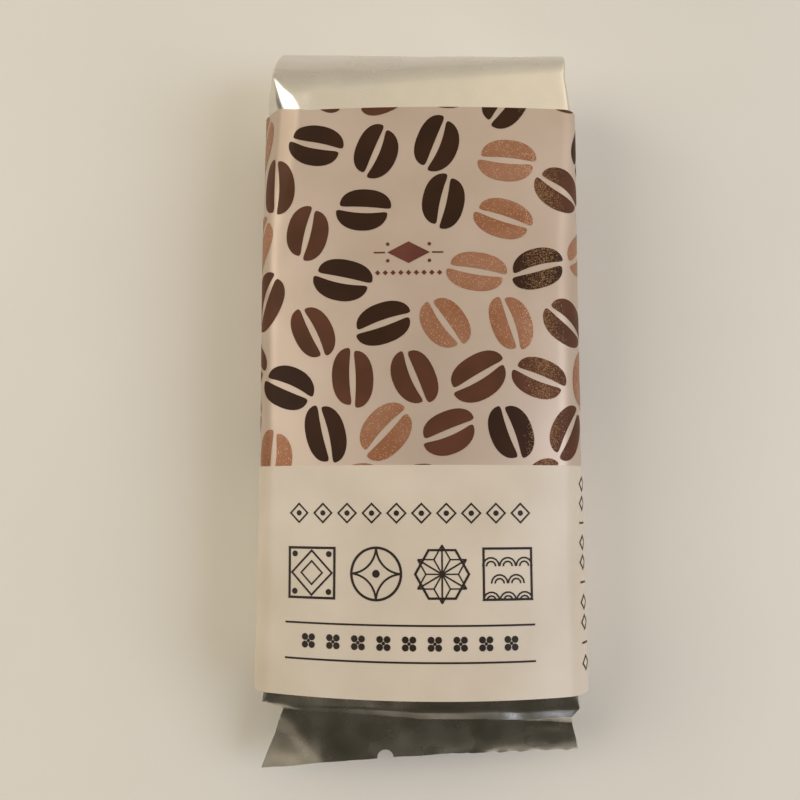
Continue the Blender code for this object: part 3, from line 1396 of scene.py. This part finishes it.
@dataclass(frozen=True)
class StarMotif:
    """A six-pointed star of fine lines over a hexagon, with rays to its tips and to its notches."""

    radius: float = 5.1 * MM
    notch_share: float = 0.577
    line: float = 0.42 * MM
    ray_line: float = 0.3 * MM
    fine_line: float = 0.26 * MM

    def draw(self, plate: Plate, x: float, y: float) -> None:
        """Draws it about a place."""
        plate.ring((x, y), self.radius, 6, self.line, pi / 6)
        for i in range(6):
            angle = pi / 6 + i * pi / 3
            tip = self.around(x, y, angle, self.radius)
            notch = self.around(x, y, angle + pi / 6, self.notch_share * self.radius)
            following = self.around(x, y, angle + pi / 3, self.radius)
            plate.stroke((x, y), tip, self.ray_line)
            for start in (tip, following, (x, y)):
                plate.stroke(start, notch, self.fine_line)

    def around(self, x: float, y: float, angle: float, reach: float) -> tuple[float, float]:
        """The place at an angle and a distance from the middle."""
        return (x + reach * cos(angle), y + reach * sin(angle))


@dataclass(frozen=True)
class WaveMotif:
    """A square with three rows of small waves, each two nested half circles."""

    radius: float = 6.6 * MM
    line: float = 0.42 * MM
    rows: tuple[tuple[float, float], ...] = ((1.0, 0.0), (0.0, 0.5), (-1.0, 0.0))
    drop: float = 0.55
    row_pitch: float = 3.0 * MM
    wave_pitch: float = 3.1 * MM
    farthest: float = 3.2 * MM
    wave_radii: tuple[float, float] = (1.5 * MM, 0.85 * MM)
    wave_line: float = 0.3 * MM

    def draw(self, plate: Plate, x: float, y: float) -> None:
        """Draws it about a place."""
        for row, shift in self.rows:
            base = y + (row - self.drop) * self.row_pitch
            for i in (-1, 0, 1):
                centre = x + (i + shift) * self.wave_pitch
                if abs(centre - x) > self.farthest:
                    continue
                for radius in self.wave_radii:
                    plate.arc((centre, base), radius, 0.0, pi, self.wave_line)
        plate.ring((x, y), self.radius, 4, self.line, pi / 4)


@dataclass(frozen=True)
class LozengeRow:
    """A row of small outlined lozenges, each with a dot in it."""

    count: int = 10
    pitch: float = 4.45 * MM
    radius: float = 1.9 * MM
    line: float = 0.3 * MM
    dot: float = 0.5 * MM


@dataclass(frozen=True)
class PetalRow:
    """A row of small marks of four petals about a dot."""

    count: int = 9
    pitch: float = 4.5 * MM
    reach: float = 0.95 * MM
    petal: float = 0.62 * MM
    dot: float = 0.32 * MM


@dataclass(frozen=True)
class SideColumn:
    """A column of small lozenges down the right side, with a bar in place of every third one."""

    count: int = 10
    start: float = -17.6 * MM
    pitch: float = 3.6 * MM
    height: float = 21.8 * MM
    bar_half: float = 1.3 * MM
    bar_line: float = 0.36 * MM
    radius: float = 1.5 * MM
    line: float = 0.34 * MM


@dataclass(frozen=True)
class Ornament:
    """A filled lozenge between two fine lines and four dots, over a row of small lozenges."""

    place: float = ORNAMENT_PLACE[1]
    rise: float = 1.3 * MM
    radius: float = 2.1 * MM
    stretch: float = 1.9
    line_ends: tuple[float, float] = (4.4 * MM, 6.5 * MM)
    line: float = 0.3 * MM
    dot_place: float = 3.9 * MM
    dot_rises: tuple[float, float] = (2.9 * MM, -0.3 * MM)
    dot: float = 0.35 * MM
    row_count: int = 9
    row_pitch: float = 1.45 * MM
    row_drop: float = 2.6 * MM
    row_radius: float = 0.5 * MM


@dataclass
class PanelPrint:
    """The plain geometric print of the cream band, the small ornament above it and the side column."""

    surface: BandSurface
    middle: float = ORNAMENT_PLACE[0]
    rule_half: float = 22.35 * MM
    rule_width: float = 0.34 * MM
    rules: tuple[float, float] = (-42.5 * MM, -48.8 * MM)
    first_place: float = -22.9 * MM
    motif_place: float = -33.6 * MM
    motif_pitch: float = 11.7 * MM
    last_place: float = -45.6 * MM
    first_row: LozengeRow = LozengeRow()
    last_row: PetalRow = PetalRow()
    side: SideColumn = SideColumn()
    ornament: Ornament = Ornament()

    def at(self, x: float, y: float) -> tuple[float, float]:
        """Flat place of a point of the top, x counted from the ornament's middle."""
        return (self.surface.round_at(self.middle + x, y), y)

    def build(self) -> list[bpy.types.Object]:
        """Builds the two films, one for each ink."""
        dark = Plate("panel_print_lines", self.surface, Ink.LINE)
        self.draw_rules(dark)
        self.draw_first_row(dark)
        self.draw_motifs(dark)
        self.draw_last_row(dark)
        self.draw_side_column(dark)
        russet = Plate("ornament_print", self.surface, Ink.RUSSET)
        self.draw_ornament(russet)
        return [dark.press(PANEL_HEIGHT + PRINT_LIFT), russet.press(PRINT_LIFT)]

    def draw_rules(self, plate: Plate) -> None:
        """Draws the two long rules."""
        for y in self.rules:
            plate.stroke(self.at(-self.rule_half, y), self.at(self.rule_half, y), self.rule_width)

    def draw_first_row(self, plate: Plate) -> None:
        """Draws the upper row of small lozenges with dots."""
        row = self.first_row
        for i in range(row.count):
            place = self.at((i - 0.5 * (row.count - 1)) * row.pitch, self.first_place)
            plate.ring(place, row.radius, 4, row.line)
            plate.dot(place, row.dot, 12)

    def draw_motifs(self, plate: Plate) -> None:
        """Draws the four large motifs."""
        motifs = (SquareMotif(), CircleMotif(), StarMotif(), WaveMotif())
        for i, motif in enumerate(motifs):
            x = (i - 0.5 * (len(motifs) - 1)) * self.motif_pitch
            motif.draw(plate, *self.at(x, self.motif_place))

    def draw_last_row(self, plate: Plate) -> None:
        """Draws the lower row of four-petalled marks."""
        row = self.last_row
        for i in range(row.count):
            x, y = self.at((i - 0.5 * (row.count - 1)) * row.pitch, self.last_place)
            for k in range(4):
                angle = pi / 4 + k * pi / 2
                plate.dot((x + row.reach * cos(angle), y + row.reach * sin(angle)), row.petal, 12)
            plate.dot((x, y), row.dot, 8)

    def draw_side_column(self, plate: Plate) -> None:
        """Draws the column of small marks down the right side."""
        side = self.side
        for i in range(side.count):
            y = side.start - side.pitch * i
            x = self.surface.round_on_right(side.height, y)
            if i % 3 == 2:
                plate.stroke((x - side.bar_half, y), (x + side.bar_half, y), side.bar_line)
            else:
                plate.ring((x, y), side.radius, 4, side.line)

    def draw_ornament(self, plate: Plate) -> None:
        """Draws the small ornament of the patterned field."""
        mark = self.ornament
        x, y = self.at(0.0, mark.place)
        plate.dot((x, y + mark.rise), mark.radius, 4, mark.stretch)
        for way in (-1, 1):
            near_end, far_end = ((x + way * end, y + mark.rise) for end in mark.line_ends)
            plate.stroke(near_end, far_end, mark.line)
            for rise in mark.dot_rises:
                plate.dot((x + way * mark.dot_place, y + rise), mark.dot, 10)
        for i in range(mark.row_count):
            across = (i - 0.5 * (mark.row_count - 1)) * mark.row_pitch
            plate.dot((x + across, y - mark.row_drop), mark.row_radius, 4)


# The foil pouch


@dataclass
class FoilPouch:
    """The shut gusset pouch with its flat seal fin, its creased near face and its folded far end."""

    form: SleeveForm
    gap: float = 0.65 * MM
    fin_thickness: float = 0.5 * MM
    neck: Section = Section(
        y=-61.3 * MM,
        slant=-0.047,
        left=-26.2 * MM,
        right=29.0 * MM,
        low=13.75 * MM,
        top_left=14.25 * MM,
        top_right=14.25 * MM,
    )
    fin_edge: Section = Section(
        y=-69.9 * MM,
        slant=0.058,
        bend=-0.52 * MM,
        left=-30.65 * MM,
        right=30.9 * MM,
        low=9.75 * MM,
        top_left=10.25 * MM,
        top_right=10.25 * MM,
    )
    crease: Section = Section(
        y=-59.95 * MM,
        slant=-0.0356,
        bend=0.52 * MM,
        left=-26.5 * MM,
        right=28.2 * MM,
        low=6.4 * MM,
        top_left=18.9 * MM,
        top_right=19.1 * MM,
        dome=2.25 * MM,
        gusset=7.0 * MM,
        left_radius=0.5 * MM,
        right_radius=0.5 * MM,
        low_radius=0.8 * MM,
    )
    brow: Section = Section(
        y=-58.8 * MM,
        slant=-0.02,
        bend=0.5 * MM,
        left=-29.6 * MM,
        right=29.8 * MM,
        low=2.6 * MM,
        top_left=18.7 * MM,
        top_right=19.1 * MM,
        dome=2.3 * MM,
        bulge=0.3 * MM,
        gusset=2.5 * MM,
        left_radius=0.6 * MM,
        right_radius=0.6 * MM,
        low_radius=2.0 * MM,
    )
    rim: Section = Section(
        y=-56.1 * MM,
        slant=-0.004,
        left=-29.7 * MM,
        right=29.75 * MM,
        low=1.0 * MM,
        top_left=19.0 * MM,
        top_right=20.3 * MM,
        dome=2.9 * MM,
        bulge=0.7 * MM,
        left_radius=1.6 * MM,
        right_radius=1.9 * MM,
        low_radius=3.5 * MM,
    )
    turn: Section = Section(
        y=59.6 * MM,
        slant=0.07,
        left=-29.2 * MM,
        right=28.2 * MM,
        low=0.9 * MM,
        top_left=25.0 * MM,
        top_right=25.9 * MM,
        dome=1.4 * MM,
        bulge=1.5 * MM,
        left_radius=3.6 * MM,
        right_radius=0.9 * MM,
        low_radius=2.0 * MM,
        left_fold=1.0,
    )
    fold: Section = Section(
        y=71.87 * MM,
        slant=-0.012,
        left=-28.6 * MM,
        right=29.7 * MM,
        low=13.4 * MM,
        top_left=14.6 * MM,
        top_right=14.6 * MM,
        left_radius=0.35 * MM,
        right_radius=0.35 * MM,
        low_radius=0.35 * MM,
    )
    neck_height: float = 14.0 * MM
    fin_edge_height: float = 10.0 * MM
    fin_droop: float = 0.3
    end_face_share: float = 0.55
    end_face_gusset: float = 12.0 * MM
    run_out_share: float = 0.3
    run_out_place: float = 55.5 * MM
    run_out_radius: float = 1.2 * MM
    fold_gusset: float = 14.5 * MM
    fold_sharpening: float = 3.0
    flap_thickness: float = 0.6 * MM
    flap_start: float = 0.47
    wall: int = 8
    corner: int = 6
    top: int = 60
    fin_steps: int = 16
    near_steps: int = 5
    wrapped_steps: int = 36
    far_steps: int = 4
    slope_steps: int = 26
    smooth_angle: float = radians(32.0)
    neck_margin: float = 0.05 * MM
    facet_start: tuple[float, float] = (-25.8 * MM, -60.4 * MM)
    facet_away: tuple[float, float] = (-0.822, -0.569)
    facet_slope: float = 0.21
    facet_reach: tuple[float, float] = (-0.15, -0.31)
    facet_round: float = 0.8 * MM
    tooth_size: float = 1.3 * MM
    tooth_depth: float = 0.25 * MM
    tooth_run: float = 8.0 * MM
    tooth_seed: int = 7
    free_run: float = 4.0 * MM
    near_dents: float = 0.22 * MM
    far_dents: float = 0.1 * MM
    broad_dent: float = 6.5 * MM
    broad_seed: int = 5
    fine_dent: float = 2.6 * MM
    fine_seed: int = 6
    fine_share: float = 0.35
    notch_place: tuple[float, float, float] = (-6.6 * MM, -70.15 * MM, 10.0 * MM)
    notch_radius: float = 1.6 * MM
    notch_depth: float = 10.0 * MM

    def sections(self) -> list[Section]:
        """All sections from the fin's edge to the far fold."""
        fin = [self.fin_section(1.0 - i / self.fin_steps) for i in range(self.fin_steps)]
        ways = [i / self.wrapped_steps for i in range(self.wrapped_steps + 1)]
        wrapped = [self.form.section(mix(self.form.near, self.form.far, way), self.gap) for way in ways]
        end_face = replace(
            self.neck.toward(self.crease, self.end_face_share),
            gusset=self.end_face_gusset,
        )
        near_keys = [self.neck, end_face, self.crease, self.brow, self.rim, wrapped[0]]
        near = self.between_keys(near_keys, self.near_steps)
        run_out = replace(
            wrapped[-1].toward(self.turn, self.run_out_share),
            slant=0.0,
            y=self.run_out_place,
            right_radius=self.run_out_radius,
        )
        far = self.between_keys([wrapped[-1], run_out, self.turn], self.far_steps)
        slope = [self.slope_section(i / self.slope_steps) for i in range(self.slope_steps)]
        return fin + near[:-1] + wrapped + far[1:-1] + slope + [self.fold]

    def fin_section(self, out: float) -> Section:
        """The fin's section a share of the way out from the neck, with its droop."""
        section = self.neck.toward(self.fin_edge, out)
        height = mix(self.neck_height, self.fin_edge_height, mix(out, out * out, self.fin_droop))
        half = 0.5 * self.fin_thickness
        return replace(section, low=height - half, top_left=height + half, top_right=height + half)

    def between_keys(self, keys: list[Section], steps: int) -> list[Section]:
        """Fills in sections between key sections.

        Args:
            keys: the key sections.
            steps: steps from each to the next.

        Returns:
            All the sections.
        """
        filled = []
        for first, second in zip(keys, keys[1:]):
            filled += [first.toward(second, i / steps) for i in range(steps)]
        return filled + [keys[-1]]

    def slope_section(self, t: float) -> Section:
        """The far slope's section on the way to the fold, thicker where the seal is folded under.

        Args:
            t: the share of the way to the fold.

        Returns:
            The section.
        """
        drop = t * t
        sharpened = self.turn.toward(self.fold, min(1.0, self.fold_sharpening * t))
        flap = self.flap_thickness if t > self.flap_start else 0.0
        return replace(
            self.turn.toward(self.fold, t),
            low=mix(self.turn.low, self.fold.low, drop) - flap,
            top_left=mix(self.turn.top_left, self.fold.top_left, drop),
            top_right=mix(self.turn.top_right, self.fold.top_right, drop),
            gusset=self.fold_gusset * t,
            left_radius=sharpened.left_radius,
            right_radius=sharpened.right_radius,
            low_radius=sharpened.low_radius,
            left_fold=self.turn.left_fold,
        )

    def build(self) -> bpy.types.Object:
        """Builds and dresses the pouch."""
        outlines = [section.outline(self.wall, self.corner, self.top) for section in self.sections()]
        rings = [self.turned_down(outline) for outline in outlines]
        rings[0] = self.ragged(rings[0])
        rings = [self.pressed(rings[0])] + rings + [self.pressed(rings[-1])]
        count = len(rings[0])
        pouch = flat_grid("foil_pouch", count, len(rings) - 1, (0.0, 0.0), (1.0, 1.0))
        flat = coordinates(pouch)
        column = np.rint(flat[:, 0] * count).astype(int) % count
        row = np.rint(flat[:, 1] * (len(rings) - 1)).astype(int)
        set_coordinates(pouch, np.array(rings)[row, column])
        weld(pouch)
        face_outwards(pouch)
        self.cut_notch(pouch)
        self.crease_ends(pouch)
        smooth_shade(pouch, self.smooth_angle)
        return settle(pouch, (FOIL.material(),), "foil", "foil_pack")

    def turned_down(self, ring: np.ndarray) -> np.ndarray:
        """Turns the fin's left corner down about a soft crease that runs out from the neck.

        Args:
            ring: an outline, of which only points on the fin are moved.

        Returns:
            The outline with the corner lower and a little further out.
        """
        away = (ring[:, :2] - self.facet_start) @ np.array(self.facet_away)
        past_neck = ring[:, 1] < self.neck.y + self.neck.slant * ring[:, 0] + self.neck_margin
        across = np.where(past_neck, np.maximum(away, 0.0), 0.0)
        drop = self.facet_slope * across**2 / (across + self.facet_round)
        reach = np.array(self.facet_reach)
        return ring + np.column_stack((drop * reach[0], drop * reach[1], -drop))

    def ragged(self, ring: np.ndarray) -> np.ndarray:
        """The fin's edge with its right part left uneven by the seal's cutter."""
        line = np.column_stack((ring[:, 0], np.zeros((len(ring), 2))))
        uneven = Wander(self.tooth_seed).at(line, self.tooth_size)[:, 1]
        ragged = ring.copy()
        ragged[:, 1] += self.tooth_depth * uneven * np.clip(ring[:, 0] / self.tooth_run, 0.0, 1.0)
        return ragged

    def pressed(self, ring: np.ndarray) -> np.ndarray:
        """A thin end's outline pressed flat to its middle height, so that the weld closes it."""
        below = np.roll(ring[::-1], 1, axis=0)
        flat = ring.copy()
        flat[:, 2] = 0.5 * (ring[:, 2] + below[:, 2])
        return flat

    def crease_ends(self, pouch: bpy.types.Object) -> None:
        """Dents the foil where it is free of the sleeve, more at the near end than at the far one."""
        points = coordinates(pouch)
        y = points[:, 1]
        near = np.clip((self.form.near - y) / self.free_run, 0.0, 1.0) * self.near_dents
        far = np.clip((y - self.form.far) / self.free_run, 0.0, 1.0) * self.far_dents
        broad = Wander(self.broad_seed).at(points, self.broad_dent)
        fine = Wander(self.fine_seed).at(points, self.fine_dent)
        set_coordinates(pouch, points + (broad + self.fine_share * fine) * (near + far)[:, None])

    def cut_notch(self, pouch: bpy.types.Object) -> None:
        """Takes the half-round tear notch out of the fin's edge."""
        deselect_all()
        bpy.ops.mesh.primitive_cylinder_add(
            vertices=40, radius=self.notch_radius, depth=self.notch_depth, location=self.notch_place
        )
        cutter = bpy.context.object
        cut = pouch.modifiers.new("tear notch", "BOOLEAN")
        cut.operation = "DIFFERENCE"
        cut.solver = "EXACT"
        cut.object = cutter
        select_only(pouch)
        bpy.ops.object.modifier_apply(modifier=cut.name)
        bpy.data.objects.remove(cutter)


# The studio


@dataclass(frozen=True)
class SoftLight:
    """One softbox of the studio."""

    name: str
    place: tuple[float, float, float]
    aim: tuple[float, float, float]
    size: tuple[float, float]
    power: float
    colour: str

    def build(self) -> None:
        """Hangs the light and aims it."""
        light = bpy.data.lights.new(self.name, "AREA")
        light.shape = "RECTANGLE"
        light.size, light.size_y = self.size
        light.energy = self.power
        light.color = linear(self.colour)[:3]
        holder = bpy.data.objects.new(self.name, light)
        holder.location = self.place
        direction = Vector(self.aim) - Vector(self.place)
        holder.rotation_euler = direction.to_track_quat("-Z", "Y").to_euler()
        bpy.context.scene.collection.objects.link(holder)


@dataclass
class Studio:
    """Floor, lights, surroundings and camera."""

    floor_size: float = 1.6
    camera_place: tuple[float, float, float] = (-3.8 * MM, -20.2 * MM, 172.8 * MM)
    camera_turn: tuple[float, float, float] = (radians(6.98), 0.0, radians(-0.01))
    camera_clip: float = 5.0 * MM
    lens: float = 36.0
    sensor: float = 36.0
    room: tuple[tuple[float, str, float], ...] = (
        (-1.0, "#857e6a", 0.15),
        (-0.8, "#857e6a", 0.2),
        (-0.25, "#857b62", 0.255),
        (0.05, "#b0a798", 0.7),
        (0.3, "#e7dac4", 1.0),
        (0.5, "#f4e7ce", 1.0),
        (0.8, "#ddd3c2", 1.0),
        (1.0, "#cfc5b3", 1.0),
    )
    room_tilt: float = 0.5
    lights: tuple[SoftLight, ...] = (
        SoftLight(
            "back softbox", (-0.72, 0.42, 0.42), (-0.027, 0.056, 0.026), (0.3, 0.3), 0.6, "#fff6e6"
        ),
        SoftLight("left softbox", (-0.6, 0.1, 0.55), (0.0, 0.0, 0.015), (0.6, 0.6), 2.65, "#fffaf2"),
        SoftLight("right softbox", (0.6, -0.1, 0.55), (0.0, 0.0, 0.015), (0.5, 0.5), 3.2, "#e2eaff"),
        SoftLight(
            "front left fill", (-0.38, -0.95, 0.31), (-0.026, -0.067, 0.009), (0.45, 0.3), 0.22, "#fff0d8"
        ),
    )

    def build(self) -> None:
        """Builds the studio."""
        self.lay_floor()
        for light in self.lights:
            light.build()
        self.set_surround()
        self.set_camera()

    def lay_floor(self) -> None:
        """Lays the pale floor under the pack."""
        deselect_all()
        bpy.ops.mesh.primitive_plane_add(size=self.floor_size)
        floor = bpy.context.object
        floor.name = "studio_floor"
        floor.data.materials.append(FLOOR.material())

    def set_surround(self) -> None:
        """Fills the room with even light that is warm and bright behind the pack and dim before it."""
        world = bpy.data.worlds.new("room light")
        world.use_nodes = True
        tree = world.node_tree
        way = add_node(tree, "ShaderNodeTexCoord").outputs["Generated"]
        split = add_node(tree, "ShaderNodeSeparateXYZ", inputs={0: way})
        share = add_node(
            tree, "ShaderNodeMapRange", inputs={0: split.outputs["Y"], 1: -1.0, 2: 1.0}
        ).outputs[0]
        stops = []
        for place, code, level in self.room:
            red, green, blue, opaque = linear(code)
            stops.append((0.5 * (place + 1.0), (red * level, green * level, blue * level, opaque)))
        colour = add_node(tree, "ShaderNodeValToRGB", inputs={"Fac": share}, stops=stops).outputs["Color"]
        tree.links.new(colour, tree.nodes["Background"].inputs["Color"])
        ends = {1: -1.0, 2: 1.0, 3: 1.0 - self.room_tilt, 4: 1.0 + self.room_tilt}
        strength = add_node(tree, "ShaderNodeMapRange", inputs={0: split.outputs["X"], **ends}).outputs[0]
        tree.links.new(strength, tree.nodes["Background"].inputs["Strength"])
        bpy.context.scene.world = world

    def set_camera(self) -> None:
        """Places the camera at the photograph's angle."""
        camera = bpy.data.cameras.new("camera")
        camera.lens = self.lens
        camera.sensor_width = self.sensor
        camera.clip_start = self.camera_clip
        holder = bpy.data.objects.new("camera", camera)
        holder.location = self.camera_place
        holder.rotation_euler = self.camera_turn
        bpy.context.scene.collection.objects.link(holder)
        bpy.context.scene.camera = holder
        bpy.context.scene.view_settings.view_transform = "Standard"


def main() -> None:
    """Builds the pack, its print and the studio."""
    logging.basicConfig(level=logging.INFO, format="%(message)s")
    form = SleeveForm()
    surface = BandSurface(form)
    FoilPouch(form).build()
    PaperBand(surface, "paper_band", FIELD_PAPER, form.near + BASE_INSET, form.far).build("paper_sleeve")
    CreamBand(surface, "cream_band", PANEL_PAPER, form.near, PANEL_EDGE).build()
    BeanScatter(surface).build()
    PanelPrint(surface).build()
    Studio().build()


if __name__ == "__main__":
    main()
